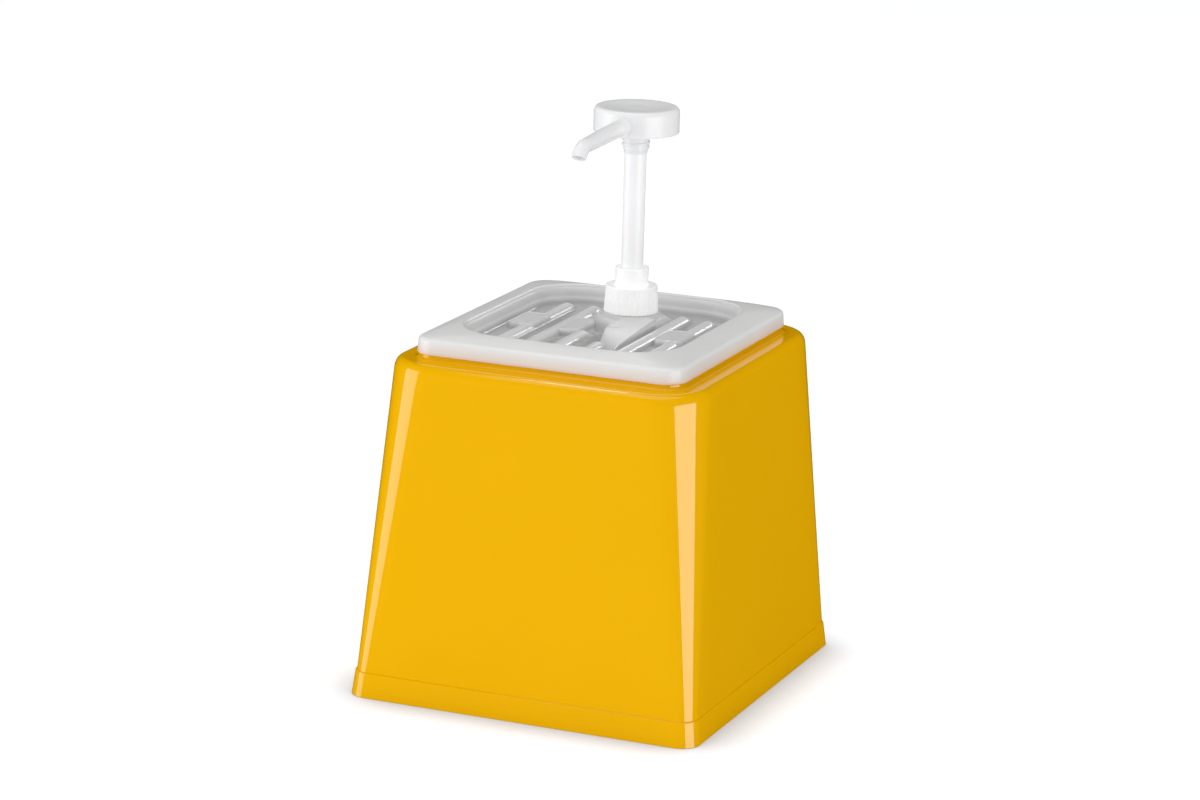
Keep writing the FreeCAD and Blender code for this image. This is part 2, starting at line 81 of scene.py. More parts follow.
def material(name, colour, roughness, tint=0.03, grain=1400.0, bump=0.02, tones=None, **shader):
    """Principled material whose colour, roughness and surface vary slightly with position."""
    mat = bpy.data.materials.new(name)
    mat.use_nodes = True
    tree = mat.node_tree
    tree.nodes.clear()
    out = tree.nodes.new("ShaderNodeOutputMaterial")
    bsdf = tree.nodes.new("ShaderNodeBsdfPrincipled")
    tree.links.new(bsdf.outputs["BSDF"], out.inputs["Surface"])
    coords = tree.nodes.new("ShaderNodeTexCoord")
    broad = tree.nodes.new("ShaderNodeTexNoise")
    broad.inputs["Scale"].default_value = 14.0
    broad.inputs["Detail"].default_value = 3.0
    fine = tree.nodes.new("ShaderNodeTexNoise")
    fine.inputs["Scale"].default_value = grain
    fine.inputs["Detail"].default_value = 4.0
    tree.links.new(coords.outputs["Object"], broad.inputs["Vector"])
    tree.links.new(coords.outputs["Object"], fine.inputs["Vector"])
    ramp = tree.nodes.new("ShaderNodeValToRGB")
    ramp.color_ramp.elements[0].position = 0.3
    ramp.color_ramp.elements[1].position = 0.7
    ramp.color_ramp.elements[0].color = [c * (1 - tint) for c in colour] + [1]
    ramp.color_ramp.elements[1].color = [min(1, c * (1 + tint)) for c in colour] + [1]
    tree.links.new(broad.outputs["Fac"], ramp.inputs["Fac"])
    base = ramp.outputs["Color"]
    if tones:
        base = tone_by_height(tree, base, tones)
    tree.links.new(base, bsdf.inputs["Base Color"])
    spread = tree.nodes.new("ShaderNodeMapRange")
    spread.inputs["To Min"].default_value = roughness * 0.85
    spread.inputs["To Max"].default_value = roughness * 1.15
    tree.links.new(fine.outputs["Fac"], spread.inputs["Value"])
    tree.links.new(spread.outputs["Result"], bsdf.inputs["Roughness"])
    relief = tree.nodes.new("ShaderNodeBump")
    relief.inputs["Strength"].default_value = bump
    relief.inputs["Distance"].default_value = 0.0002
    tree.links.new(fine.outputs["Fac"], relief.inputs["Height"])
    tree.links.new(relief.outputs["Normal"], bsdf.inputs["Normal"])
    bsdf.inputs["Emission Color"].default_value = (1, 1, 1, 1)
    for socket, value in shader.items():
        bsdf.inputs[socket.replace("_", " ")].default_value = value
    return mat


YELLOW = material("yellow_gloss", (0.90, 0.468, 0.0003), 0.09, tint=0.008, bump=0.004,
                  IOR=1.52, Coat_Weight=0.15, Coat_Roughness=0.03)
# Tones by height stand in for light inside the translucent lid: warm at its foot, dark low in its tray.
EDGE_TONES = [(197.6, (0.99, 0.87, 0.80)), (200.0, (0.98, 0.91, 0.87)),
              (203.5, (0.97, 0.97, 0.97)), (210.0, (0.97, 0.97, 0.97))]
TRAY_TONES = [(198.8, (0.56, 0.56, 0.56)), (200.4, (0.62, 0.62, 0.62)), (202.6, (0.92, 0.92, 0.92)),
              (204.2, (0.78, 0.78, 0.78)), (210.0, (0.95, 0.95, 0.95))]
FROSTED = material("frosted_lid", (0.84, 0.838, 0.832), 0.3, tint=0.02, bump=0.03,
                   tones=EDGE_TONES, IOR=1.5, Subsurface_Weight=0.4, Subsurface_Scale=0.005,
                   Subsurface_Radius=(0.5, 0.5, 0.5))
TRAY = material("frosted_tray", (0.87, 0.87, 0.866), 0.24, tint=0.02, bump=0.03,
                tones=TRAY_TONES, IOR=1.5, Subsurface_Weight=0.2, Subsurface_Scale=0.002,
                Subsurface_Radius=(0.5, 0.5, 0.5))
NATURAL = material("natural_pan", (0.80, 0.79, 0.75), 0.35, bump=0.04,
                   Subsurface_Weight=0.3, Subsurface_Scale=0.004, Transmission_Weight=0.15)
# The pump's whites glow a little: painted light that brightens them. The head's darker copy glows less.
WHITE = material("white_pump", (0.95, 0.952, 0.954), 0.26, tint=0.004, bump=0.008,
                 Subsurface_Weight=0.2, Subsurface_Scale=0.002, Emission_Strength=0.17)
# Painted shade: the press head gets a darker copy of the pump's white, which greys it.
SHADED_HEAD_WHITE = material("white_head_shaded", (0.835, 0.838, 0.841), 0.26, tint=0.006, bump=0.006,
                      Subsurface_Weight=0.2, Subsurface_Scale=0.002, Emission_Strength=0.06)
STEM_WHITE = material("stem_white", (0.92, 0.923, 0.926), 0.22, tint=0.01, bump=0.008,
                      Subsurface_Weight=0.3, Subsurface_Scale=0.003, Emission_Strength=0.1)
CLEAR = material("cylinder_natural", (0.78, 0.79, 0.78), 0.3, bump=0.02,
                 Subsurface_Weight=0.2, Subsurface_Scale=0.003, Transmission_Weight=0.35)
SEAL = material("seal_rubber", (0.62, 0.62, 0.58), 0.6, tint=0.05, bump=0.1)
STEEL = material("stainless", (0.62, 0.62, 0.63), 0.22, tint=0.04, grain=600.0, bump=0.03, Metallic=1.0)

# The material of each slot, then the copies for two pieces that carry painted shade: a darker white on the
# press head, and tones by height on the tray.
SLOTS = {
    "housing_plastic": YELLOW,
    "pan_plastic": NATURAL,
    "lid_plastic": FROSTED,
    "pump_plastic": WHITE,
    "stem_plastic": STEM_WHITE,
    "cylinder_plastic": CLEAR,
    "seal_rubber": SEAL,
    "stainless": STEEL,
}
SHADED_COPIES = {"press_head": SHADED_HEAD_WHITE, "lid_tray": TRAY}


# ------------------------------------------------------------- mesh building

def mesh_piece(name, points, faces, slot, body, node, sharp=40.0):
    """A shown piece from points in millimetres, standing for one CAD node."""
    mesh = bpy.data.meshes.new(name)
    mesh.from_pydata([[c * MM for c in p] for p in points], [], faces)
    mesh.validate()
    mesh.shade_smooth()
    mesh.set_sharp_from_angle(angle=math.radians(sharp))
    piece = bpy.data.objects.new(name, mesh)
    bpy.context.scene.collection.objects.link(piece)
    piece.data.materials.append(SHADED_COPIES.get(name, SLOTS[slot]))
    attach(piece, body)
    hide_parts(node)
    return piece


def rounded_rect(size, z, corner_steps=14, side_steps=10):
    """Points round a rectangle with rounded corners, always the same number."""
    w, d, r = size
    r = max(r, 0.01)
    points = []
    for k in range(4):
        start = 90.0 * k
        sx = 1 if k in (0, 3) else -1
        sy = 1 if k in (0, 1) else -1
        cx, cy = sx * (w / 2 - r), sy * (d / 2 - r)
        for i in range(corner_steps + 1):
            a = math.radians(start + 90.0 * i / corner_steps)
            points.append((cx + r * math.cos(a), cy + r * math.sin(a), z))
        last = points[-1]
        nk = (k + 1) % 4
        nsx = 1 if nk in (0, 3) else -1
        nsy = 1 if nk in (0, 1) else -1
        a = math.radians(90.0 * nk)
        nxt = (nsx * (w / 2 - r) + r * math.cos(a), nsy * (d / 2 - r) + r * math.sin(a))
        for i in range(1, side_steps):
            t = i / side_steps
            points.append((last[0] + (nxt[0] - last[0]) * t, last[1] + (nxt[1] - last[1]) * t, z))
    return points


def inset(size, margin):
    """A rounded rectangle's (width, depth, corner radius) with its outline moved in."""
    w, d, r = size
    return (w - 2 * margin, d - 2 * margin, r - margin)


def blend_size(a, b, t):
    """The outline a share t of the way from a to b."""
    return tuple(p + (q - p) * t for p, q in zip(a, b))


def loft(rings, closed=False):
    """Points and quads through rings that all have the same number of points."""
    points = [p for ring in rings for p in ring]
    n = len(rings[0])
    faces = []
    pairs = len(rings) if closed else len(rings) - 1
    for i in range(pairs):
        a, b = i * n, ((i + 1) % len(rings)) * n
        for j in range(n):
            k = (j + 1) % n
            faces.append((a + j, a + k, b + k, b + j))
    return points, faces


def cap(points, faces, first, count, flip=False):
    """Closes a ring of points with a fan about its centre."""
    centre = [sum(points[first + i][c] for i in range(count)) / count for c in range(3)]
    points.append(tuple(centre))
    hub = len(points) - 1
    for j in range(count):
        k = (j + 1) % count
        tri = (first + j, first + k, hub)
        faces.append(tri[::-1] if flip else tri)


def joined(parts):
    """One list of points and faces from several."""
    points, faces = [], []
    for more_points, more_faces in parts:
        start = len(points)
        points += more_points
        faces += [tuple(start + i for i in f) for f in more_faces]
    return points, faces


def capped_loft(levels):
    """A loft through (outline, height) levels whose last ring is closed."""
    rings = [rounded_rect(size, z) for size, z in levels]
    points, faces = loft(rings)
    n = len(rings[0])
    cap(points, faces, (len(rings) - 1) * n, n)
    return points, faces


def eased(profile, radius, steps=5):
    """A profile whose inner corners are rounded, leaving its two ends alone."""
    out = [profile[0]]
    for before, here, after in zip(profile, profile[1:], profile[2:]):
        p, q, s = Vector(before), Vector(here), Vector(after)
        u, v = p - q, s - q
        if u.length < 1e-6 or v.length < 1e-6:
            continue
        turn = math.pi - u.angle(v)
        if turn < 0.12:
            out.append(here)
            continue
        reach = min(radius * math.tan(turn / 2), 0.45 * u.length, 0.45 * v.length)
        a, b = q + u.normalized() * reach, q + v.normalized() * reach
        for i in range(steps + 1):
            t = i / steps
            out.append(tuple((1 - t) ** 2 * a + 2 * t * (1 - t) * q + t * t * b))
    out.append(profile[-1])
    return out


def lathe(profile, segments, swell=None):
    """Rings of a profile of (radius, height) turned about the pump's axis; swell adds to the radius."""
    rings = []
    for r, z in profile:
        ring = []
        for j in range(segments):
            a = 2 * math.pi * j / segments
            reach = r + (swell(r, z, a) if swell else 0.0)
            ring.append((reach * math.cos(a), PUMP_Y + reach * math.sin(a), z))
        rings.append(ring)
    return rings


# ------------------------------------------------------------------- housing

SKIRT_FOOT, SKIRT_TOP, SKIRT_H = (212.2, 226.8, 11.5), (208.7, 223.3, 11.0), 14.5
SKIRT_EDGE_R = 0.72
WALL_FOOT, DECK, DECK_Z = (207.2, 221.8, 10.4), (188.4, 203.0, 29.6), 194.4
WALL_ROOT = (0.35, 0.45)          # width and height of the curve where the wall meets the skirt
DECK_EDGE_R = 5.2
SHELL_T = 3.0
CEILING_Z = DECK_Z - SHELL_T
OPENING, OPENING_EDGE_R = (150.0, 164.0, 17.0), 0.8
LIP_Z, LIP_T = 182.4, 2.5         # foot and thickness of the lip that hangs round the opening
RIM_OUTER, RIM_INNER, RIM_TOP_Z = (160.6, 175.0, 12.6), (155.0, 169.0, 12.0), 197.55
RIM_ROOT_R = 2.5


def wall_at(z):
    """Outline of the sloping wall at height z."""
    return blend_size(WALL_FOOT, DECK, (z - SKIRT_H) / (DECK_Z - SKIRT_H))


def quarter_turn(steps, first=0):
    """Sine and cosine at even steps over a quarter turn."""
    for i in range(first, steps + 1):
        a = math.pi / 2 * i / steps
        yield math.sin(a), math.cos(a)


def skirt_levels():
    """Outer outlines of the skirt, from the ground to the foot of the wall."""
    levels = [(inset(SKIRT_FOOT, 0.8), 0.0), (inset(SKIRT_FOOT, 0.35), 0.05),
              (inset(SKIRT_FOOT, 0.08), 0.35)]
    for i in range(1, 6):
        t = 0.93 * i / 5
        levels.append((blend_size(SKIRT_FOOT, SKIRT_TOP, t), t * SKIRT_H))
    for sine, cosine in quarter_turn(5, 1):
        outline = inset(SKIRT_TOP, SKIRT_EDGE_R * (1 - cosine))
        levels.append((outline, SKIRT_H - SKIRT_EDGE_R * (1 - sine)))
    for sine, cosine in quarter_turn(5, 1):
        outline = inset(wall_at(SKIRT_H), -WALL_ROOT[0] * (1 - sine))
        levels.append((outline, SKIRT_H + WALL_ROOT[1] * (1 - cosine)))
    return levels


def deck_levels():
    """Outer outlines of the wall, its rounded top edge, the deck and the raised rim."""
    slope = math.atan((WALL_FOOT[0] - DECK[0]) / 2 / (DECK_Z - SKIRT_H))
    centre = DECK_EDGE_R / math.cos(slope) - DECK_EDGE_R * math.tan(slope)
    wall_foot = SKIRT_H + WALL_ROOT[1]
    wall_top = DECK_Z - DECK_EDGE_R + DECK_EDGE_R * math.sin(slope)
    levels = []
    for i in range(1, 25):
        z = wall_foot + (wall_top - wall_foot) * i / 24
        levels.append((wall_at(z), z))
    for i in range(1, 11):
        a = slope + (math.pi / 2 - slope) * i / 10
        outline = inset(DECK, centre - DECK_EDGE_R * math.cos(a))
        levels.append((outline, DECK_Z - DECK_EDGE_R * (1 - math.sin(a))))
    rim_foot = inset(RIM_OUTER, -RIM_ROOT_R - 0.2)
    for t in (0.05, 0.3, 0.6, 0.9):
        levels.append((blend_size(inset(DECK, centre), rim_foot, t), DECK_Z))
    for sine, cosine in quarter_turn(6):
        levels.append((inset(RIM_OUTER, -RIM_ROOT_R * (1 - sine)), DECK_Z + RIM_ROOT_R * (1 - cosine)))
    levels += [(RIM_OUTER, RIM_TOP_Z - 0.4), (inset(RIM_OUTER, 0.12), RIM_TOP_Z - 0.12),
               (inset(RIM_OUTER, 0.4), RIM_TOP_Z), (inset(RIM_INNER, -0.4), RIM_TOP_Z),
               (RIM_INNER, RIM_TOP_Z - 0.4), (RIM_INNER, DECK_Z)]
    for sine, cosine in quarter_turn(4):
        outline = inset(OPENING, -OPENING_EDGE_R * (1 - sine))
        levels.append((outline, DECK_Z - OPENING_EDGE_R * (1 - cosine)))
    return levels


def inner_levels():
    """Outlines of the opening's lip, the ceiling and the inside of the wall, down to the ground."""
    levels = [(OPENING, 188.0), (OPENING, LIP_Z + 0.5), (inset(OPENING, -0.4), LIP_Z),
              (inset(OPENING, 0.4 - LIP_T), LIP_Z), (inset(OPENING, -LIP_T), LIP_Z + 0.5),
              (inset(OPENING, -LIP_T), CEILING_Z - 0.8), (inset(OPENING, -LIP_T - 0.8), CEILING_Z)]
    ceiling = inset(wall_at(CEILING_Z), SHELL_T)
    wall_top = CEILING_Z - 2.8
    levels += [(inset(ceiling, 3.0), CEILING_Z), (inset(ceiling, 0.8), CEILING_Z - 0.7),
               (inset(wall_at(wall_top), SHELL_T), wall_top)]
    for i in range(1, 13):
        z = wall_top + (13.0 - wall_top) * i / 12
        levels.append((inset(wall_at(z), SHELL_T), z))
    levels += [(inset(SKIRT_TOP, SHELL_T), 12.0), (inset(SKIRT_FOOT, SHELL_T), 0.4),
               (inset(SKIRT_FOOT, SHELL_T - 0.4), 0.0)]
    return levels


def housing():
    """Tapered shell: skirt, sloping walls, deck with a raised rim, and a lipped opening."""
    levels = skirt_levels() + deck_levels() + inner_levels()
    points, faces = loft([rounded_rect(size, z) for size, z in levels], closed=True)
    return mesh_piece("housing", points, faces, "housing_plastic", "housing", "housing_shell")


# ----------------------------------------------------------------------- pan

PAN_TOP_Z, PAN_FLOOR_Z, PAN_WALL = 197.6, 47.6, 2.4
PAN_FLANGE, PAN_MOUTH = (154.2, 168.2, 11.6), (146.0, 160.0, 16.0)
PAN_SHOULDER, PAN_BODY, PAN_FLOOR = (144.5, 158.5, 16.0), (138.0, 152.0, 15.0), (122.0, 136.0, 14.0)
PAN_SHOULDER_Z, PAN_BODY_Z = DECK_Z - 22.0, DECK_Z - 25.0
PAN_FLOOR_R = 8.0


def pan_body_levels(margin, floor_z):
    """Outlines of the pan from its shoulder down to the edge of its flat floor."""
    levels = [(inset(PAN_SHOULDER, margin), PAN_SHOULDER_Z), (inset(PAN_BODY, margin), PAN_BODY_Z)]
    for t in (0.25, 0.5, 0.75, 0.93):
        outline = inset(blend_size(PAN_BODY, PAN_FLOOR, t), margin)
        levels.append((outline, PAN_BODY_Z + (floor_z - PAN_BODY_Z) * t))
    for a in (20, 45, 70, 90):
        k = math.radians(a)
        outline = inset(PAN_FLOOR, margin + PAN_FLOOR_R * (1 - math.cos(k)))
        levels.append((outline, floor_z + PAN_FLOOR_R * (1 - math.sin(k))))
    return levels


def pan():
    """Food pan: a flange resting on the deck, a stepped shoulder and a tapering body."""
    inside = [(inset(PAN_FLANGE, 3.8), DECK_Z), (inset(PAN_FLANGE, 0.4), DECK_Z),
              (inset(PAN_FLANGE, 0.05), DECK_Z + 0.4), (PAN_FLANGE, PAN_TOP_Z - 1.0),
              (inset(PAN_FLANGE, 0.3), PAN_TOP_Z - 0.3), (inset(PAN_FLANGE, 1.0), PAN_TOP_Z),
              (inset(PAN_MOUTH, PAN_WALL - 1.0), PAN_TOP_Z),
              (inset(PAN_MOUTH, PAN_WALL - 0.2), PAN_TOP_Z - 0.7)]
    inside += pan_body_levels(PAN_WALL, PAN_FLOOR_Z + PAN_WALL)
    outside = [(inset(PAN_MOUTH, -0.4), DECK_Z), (PAN_MOUTH, DECK_Z - 0.5)]
    outside += pan_body_levels(0, PAN_FLOOR_Z)
    points, faces = capped_loft(inside)
    out_points, out_faces = capped_loft(outside)
    points, faces = joined([(points, faces), (out_points, [tuple(reversed(f)) for f in out_faces])])
    return mesh_piece("pan", points, faces, "pan_plastic", "pan", "food_container")


# ----------------------------------------------------------------------- lid

LID_FOOT, LID_TOP = (162.0, 176.6, 13.2), (161.0, 175.6, 12.7)
LID_EDGE_Z, LID_TOP_Z = 206.8, 210.0          # outer edge and crest of the sloping border
LID_T, LID_EDGE_R = 2.0, 2.6
RECESS_TOP, RECESS_FLOOR, PANEL_Z = (129.0, 146.4, 30.0), (122.5, 138.5, 26.0), 199.0
CREST_ROUND = (1.5, 1.6)                      # width and height of the tray's rounded brim
CREST_RING = 12                               # place of the crest among the lid's rings

# Each rib is (centre x, front y, back y) and each pad is (centre x, centre y, width, depth).
RIBS = [(-44.5, -64.0, 60.0), (-27.0, -64.0, 60.0), (-10.0, -64.0, 0.0), (9.0, -62.0, -22.0),
        (28.5, -64.0, 60.0), (45.5, -64.0, 56.0)]
RIB_HALF_WIDTH, RIB_H, RIB_FRONT_TAPER, RIB_BACK_TAPER = 4.8, 4.0, 5.0, 10.0
PADS = [(-48.5, 4.0, 17.0, 31.0), (-19.0, 4.0, 13.5, 33.0), (42.0, 3.0, 18.0, 28.0)]
PAD_CORNER_R, PAD_H, PAD_EDGE = 5.0, 3.9, 1.2
PAD_LINE = (1.5, 0.7, 0.35)                   # distance from the pad's edge, half width, height
TONGUE_RIGHT_X, TONGUE_EDGE = 21.0, 1.6
TONGUE_BACK_Y, TONGUE_LEVEL_Y, TONGUE_FRONT_Y = 30.0, -42.0, -58.0
TONGUE_LOW, TONGUE_RISE = 1.4, 4.4
DOME, DOME_R, DOME_H = (4.5, 9.0), 9.0, 4.6
MARK, MARK_R, MARK_HALF_WIDTH, MARK_H = (-5.0, 2.5), 2.6, 0.8, 0.7
PANEL_HOLE_R = 14.5
PANEL_COLUMNS, PANEL_ROWS = 244, 200


def smooth(t):
    """Smooth step from 0 to 1."""
    t = min(1.0, max(0.0, t))
    return t * t * (3 - 2 * t)


def rib_height(x, y, centre, first, last):
    """Height of a round-topped ridge with rounded ends."""
    across = abs(x - centre) / RIB_HALF_WIDTH
    if across >= 1.0:
        return 0.0
    ends = smooth((y - first) / RIB_FRONT_TAPER) * smooth((last - y) / RIB_BACK_TAPER)
    return RIB_H * (1 - across ** 2.2) ** 0.8 * ends


def pad_height(x, y, cx, cy, w, d):
    """Height of a flat pad with rounded corners and a fine line just inside its edge."""
    dx, dy = abs(x - cx) - w / 2 + PAD_CORNER_R, abs(y - cy) - d / 2 + PAD_CORNER_R
    reach = PAD_CORNER_R - math.hypot(max(dx, 0.0), max(dy, 0.0)) if max(dx, dy) > 0 else PAD_CORNER_R
    line_at, line_half_width, line_h = PAD_LINE
    outline = line_h * smooth(1 - abs(reach - line_at) / line_half_width)
    return PAD_H * smooth(reach / PAD_EDGE) + outline


def tongue_height(x, y):
    """Smooth ramp from the boss to the front of the panel, narrower towards the front."""
    if y > TONGUE_BACK_Y:
        return 0.0
    left = min(15.0, max(-1.0, -0.3 * y - 1.0))
    side = min(x - left, TONGUE_RIGHT_X - x)
    rise = max(0.0, (y - TONGUE_LEVEL_Y) / (TONGUE_BACK_Y - TONGUE_LEVEL_Y))
    front = smooth((y - TONGUE_FRONT_Y) / 10.0)
    return (TONGUE_LOW + TONGUE_RISE * rise) * smooth(side / TONGUE_EDGE) * front


def panel_height(x, y):
    """Height of the tray's floor above PANEL_Z: ribs, pads, tongue, boss flare, dome and ring mark."""
    height = 0.0
    for r in RIBS:
        height = max(height, rib_height(x, y, *r))
    for p in PADS:
        height = max(height, pad_height(x, y, *p))
    height = max(height, tongue_height(x, y))
    reach = math.hypot(x, y - PUMP_Y)
    flare = 2.6 * (1 - smooth((reach - 17.2) / 1.6)) + 3.4 * (1 - smooth((reach - 17.5) / 11.0))
    dome = DOME_H * smooth((DOME_R - math.hypot(x - DOME[0], y - DOME[1])) / 4.0)
    from_ring = abs(math.hypot(x - MARK[0], y - MARK[1]) - MARK_R)
    mark = MARK_H * smooth(1 - from_ring / MARK_HALF_WIDTH)
    return max(height, flare, dome) + mark


def lid_levels():
    """Levels from the tray's floor up over the border, down the outer side and back inside."""
    levels = [(inset(RECESS_FLOOR, 1.0), PANEL_Z - 0.3), (inset(RECESS_FLOOR, 0.4), PANEL_Z + 0.1),
              (inset(RECESS_FLOOR, -0.1), PANEL_Z + 0.9)]
    for t in (0.2, 0.4, 0.6, 0.8):
        levels.append((blend_size(RECESS_FLOOR, RECESS_TOP, t), PANEL_Z + (LID_TOP_Z - PANEL_Z) * t))
    width, height = CREST_ROUND
    for a in (0, 18, 36, 54, 72, 90):
        k = math.radians(a)
        outline = inset(RECESS_TOP, -width * (1 - math.cos(k)))
        levels.append((outline, LID_TOP_Z - height + height * math.sin(k)))
    crest, border_end = inset(RECESS_TOP, -width), inset(LID_TOP, LID_EDGE_R)
    for t in (0.25, 0.5, 0.75):
        z = LID_TOP_Z - (LID_TOP_Z - LID_EDGE_Z) * 0.9 * t ** 1.25
        levels.append((blend_size(crest, border_end, t), z))
    edge_foot, steepest = LID_EDGE_Z - LID_EDGE_R, 78
    for i in range(9):
        a = math.radians(steepest - steepest * i / 8)
        outline = inset(LID_TOP, LID_EDGE_R * (1 - math.cos(a)))
        levels.append((outline, edge_foot + LID_EDGE_R * math.sin(a) / math.sin(math.radians(steepest))))
    for t in (0.35, 0.7, 0.96):
        levels.append((blend_size(LID_TOP, LID_FOOT, t), edge_foot + (PAN_TOP_Z - edge_foot) * t))
    levels += [(inset(LID_FOOT, 0.1), PAN_TOP_Z + 0.15), (inset(LID_FOOT, 0.4), PAN_TOP_Z),
               (inset(LID_FOOT, LID_T - 0.3), PAN_TOP_Z), (inset(LID_FOOT, LID_T), PAN_TOP_Z + 0.3),
               (inset(LID_TOP, LID_T), LID_EDGE_Z - 3.5), (inset(LID_TOP, 3.6), LID_EDGE_Z - 2.0),
               (inset(RECESS_TOP, -3.0), LID_TOP_Z - 2.3), (inset(RECESS_TOP, -2.0), LID_TOP_Z - 3.2),
               (inset(RECESS_FLOOR, -2.0), PANEL_Z - 1.0), (inset(RECESS_FLOOR, -1.0), PANEL_Z - LID_T),
               (inset(RECESS_FLOOR, 1.0), PANEL_Z - LID_T)]
    return levels


def lid_panel():
    """Ribbed floor of the lid's recess, top and underside, with the pump's opening."""
    w, d, r = inset(RECESS_FLOOR, 0.6)
    stride = PANEL_ROWS + 1
    points, faces = [], []
    for i in range(PANEL_COLUMNS + 1):
        x = -w / 2 + w * i / PANEL_COLUMNS
        edge = max(0.0, abs(x) - (w / 2 - r))
        half = d / 2 - r + math.sqrt(max(0.0, r * r - edge * edge))
        for j in range(stride):
            y = -half + 2 * half * j / PANEL_ROWS
            points.append((x, y, PANEL_Z + panel_height(x, y)))
    count = len(points)
    for i in range(PANEL_COLUMNS):
        for j in range(PANEL_ROWS):
            a = i * stride + j
            quad = (a, a + stride, a + stride + 1, a + 1)
            centre_x = sum(points[k][0] for k in quad) / 4
            centre_y = sum(points[k][1] for k in quad) / 4
            if math.hypot(centre_x, centre_y - PUMP_Y) > PANEL_HOLE_R:
                faces.append(quad)
    for x, y, z in points[:count]:
        points.append((x, y, z - LID_T))
    faces += [tuple(count + k for k in reversed(f)) for f in faces]
    return points, faces


def thread_swell(root, crest, pitch, z_start, turns, width):
    """Radial swelling of a right-hand thread on a turned surface."""
    fade, flank = 0.12, 0.45      # turns over which the thread runs out, and the width of its side

    def swell(r, z, a):
        along = (z - z_start) / pitch - a / (2 * math.pi)
        turn = round(along)
        offset = abs(along - turn) * pitch
        travelled = turn + a / (2 * math.pi)
        if travelled < 0 or travelled > turns or abs(r - root) > 0.05:
            return 0.0
        ends = smooth(travelled / fade) * smooth((turns - travelled) / fade)
        return (crest - root) * ends * (1 - smooth((offset - width / 2) / flank))
    return swell


NECK_R, NECK_BORE_R, NECK_TOP_Z = 12.4, 11.3, 215.2
BOSS_TOP_Z, BOSS_R = 205.3, 16.9


def lid():
    """Translucent lid in two pieces: the sloping border, and the ribbed tray with its threaded neck."""
    rings = [rounded_rect(size, z, 16, 12) for size, z in lid_levels()]
    bore = [(NECK_BORE_R, PANEL_Z - LID_T), (13.3, PANEL_Z - LID_T), (13.3, 203.0)]
    boss = eased([(16.2, 203.0), (BOSS_R, BOSS_TOP_Z), (NECK_R, BOSS_TOP_Z)], 0.3)
    shank = [(NECK_R, 205.2 + 0.2 * i) for i in range(1, 46)]
    top = eased([(NECK_R, 214.4), (NECK_R, NECK_TOP_Z), (NECK_BORE_R, NECK_TOP_Z),
                 (NECK_BORE_R, 214.6)], 0.3)
    neck = lathe(bore + boss + shank + top, 160, thread_swell(NECK_R, 13.5, 3.0, 207.4, 2.0, 0.9))
    tray = joined([loft(rings[:CREST_RING + 1]), lid_panel(), loft(neck, closed=True)])
    mesh_piece("lid_border", *loft(rings[CREST_RING:] + rings[:1]), "lid_plastic", "lid", "lid")
    mesh_piece("lid_tray", *tray, "lid_plastic", "lid", "lid")


# ---------------------------------------------------------------------- pump

FLUTES, FLUTE_DEPTH, FLUTE_TOP_Z = 36, 0.42, 218.6
CAP_FOOT_Z, CAP_TOP_Z, CAP_BORE_R = 205.6, 221.2, 13.9


def cap_flutes(r, z, a):
    """Vertical flutes on the lower part of the closure's outside."""
    if r < 14.4 or z > FLUTE_TOP_Z:
        return 0.0
    wave = (FLUTES * a / (2 * math.pi)) % 1.0
    groove = smooth((abs(wave - 0.5) - 0.36) / 0.12)
    return -FLUTE_DEPTH * groove * smooth((FLUTE_TOP_Z - z) / 1.6)


def screw_cap():
    """Fluted closure with a rounded top and a threaded bore."""
    outside = [(15.5, CAP_FOOT_Z)] + [(15.8 - 0.8 * i / 12, 205.9 + 12.7 * i / 12) for i in range(13)]
    outside += [(15.0, 219.9)]
    top = eased([(15.0, 219.9), (15.0, CAP_TOP_Z), (10.0, CAP_TOP_Z), (10.0, 219.5)], 1.9, 8)[1:]
    inside = [(10.3, 219.5), (13.6, 219.5), (CAP_BORE_R, 219.2)]
    bore = [(CAP_BORE_R, 219.0 - 0.25 * i) for i in range(1, 53)] + [(14.1, CAP_FOOT_Z)]
    thread = thread_swell(CAP_BORE_R, 12.8, 3.0, 208.9, 1.4, 0.9)

    def swell(r, z, a):
        return cap_flutes(r, z, a) + thread(r, z, a)

    points, faces = loft(lathe(outside + top + inside + bore, 480, swell), closed=True)
    return mesh_piece("closure", points, faces, "pump_plastic", "closure", "screw_cap")


STEM_R, STEM_BORE_R = 6.325, 4.2
COLLAR_BORE_R, COLLAR_RECESS_R = 6.41, 8.5


def collar():
    """Collar round the stem: a flange, a slightly flared tube and a threaded recess in its top."""
    profile = [(COLLAR_BORE_R, 212.0), (COLLAR_BORE_R, 209.0), (9.75, 209.0), (9.75, 218.2), (12.3, 218.2),
               (12.3, 219.4), (9.35, 219.4), (9.35, 221.2), (9.84, 231.3), (9.6, 231.6), (8.8, 231.6),
               (COLLAR_RECESS_R, 231.3)]
    recess = [(COLLAR_RECESS_R, 231.0 - 0.3 * i) for i in range(1, 24)]
    tail = [(COLLAR_RECESS_R, 223.6), (COLLAR_BORE_R, 223.6), (COLLAR_BORE_R, 216.0)]
    thread = thread_swell(COLLAR_RECESS_R, 7.9, 3.4, 226.6, 1.1, 0.8)
    points, faces = loft(lathe(eased(profile, 0.25, 3) + recess + tail, 160, thread), closed=True)
    return mesh_piece("collar", points, faces, "pump_plastic", "pump_body", "stem_collar")


def stem():
    """Long hollow rod from the piston to the press head."""
    profile = [(STEM_BORE_R, 250.0), (STEM_BORE_R, 200.1), (STEM_R, 200.1)]
    profile += [(STEM_R, 200.5 + 11.1 * i) for i in range(11)]
    profile += [(STEM_BORE_R, 312.0), (STEM_BORE_R, 290.0)]
    points, faces = loft(lathe(profile, 96), closed=True)
    return mesh_piece("stem_tube", points, faces, "stem_plastic", "head", "stem")


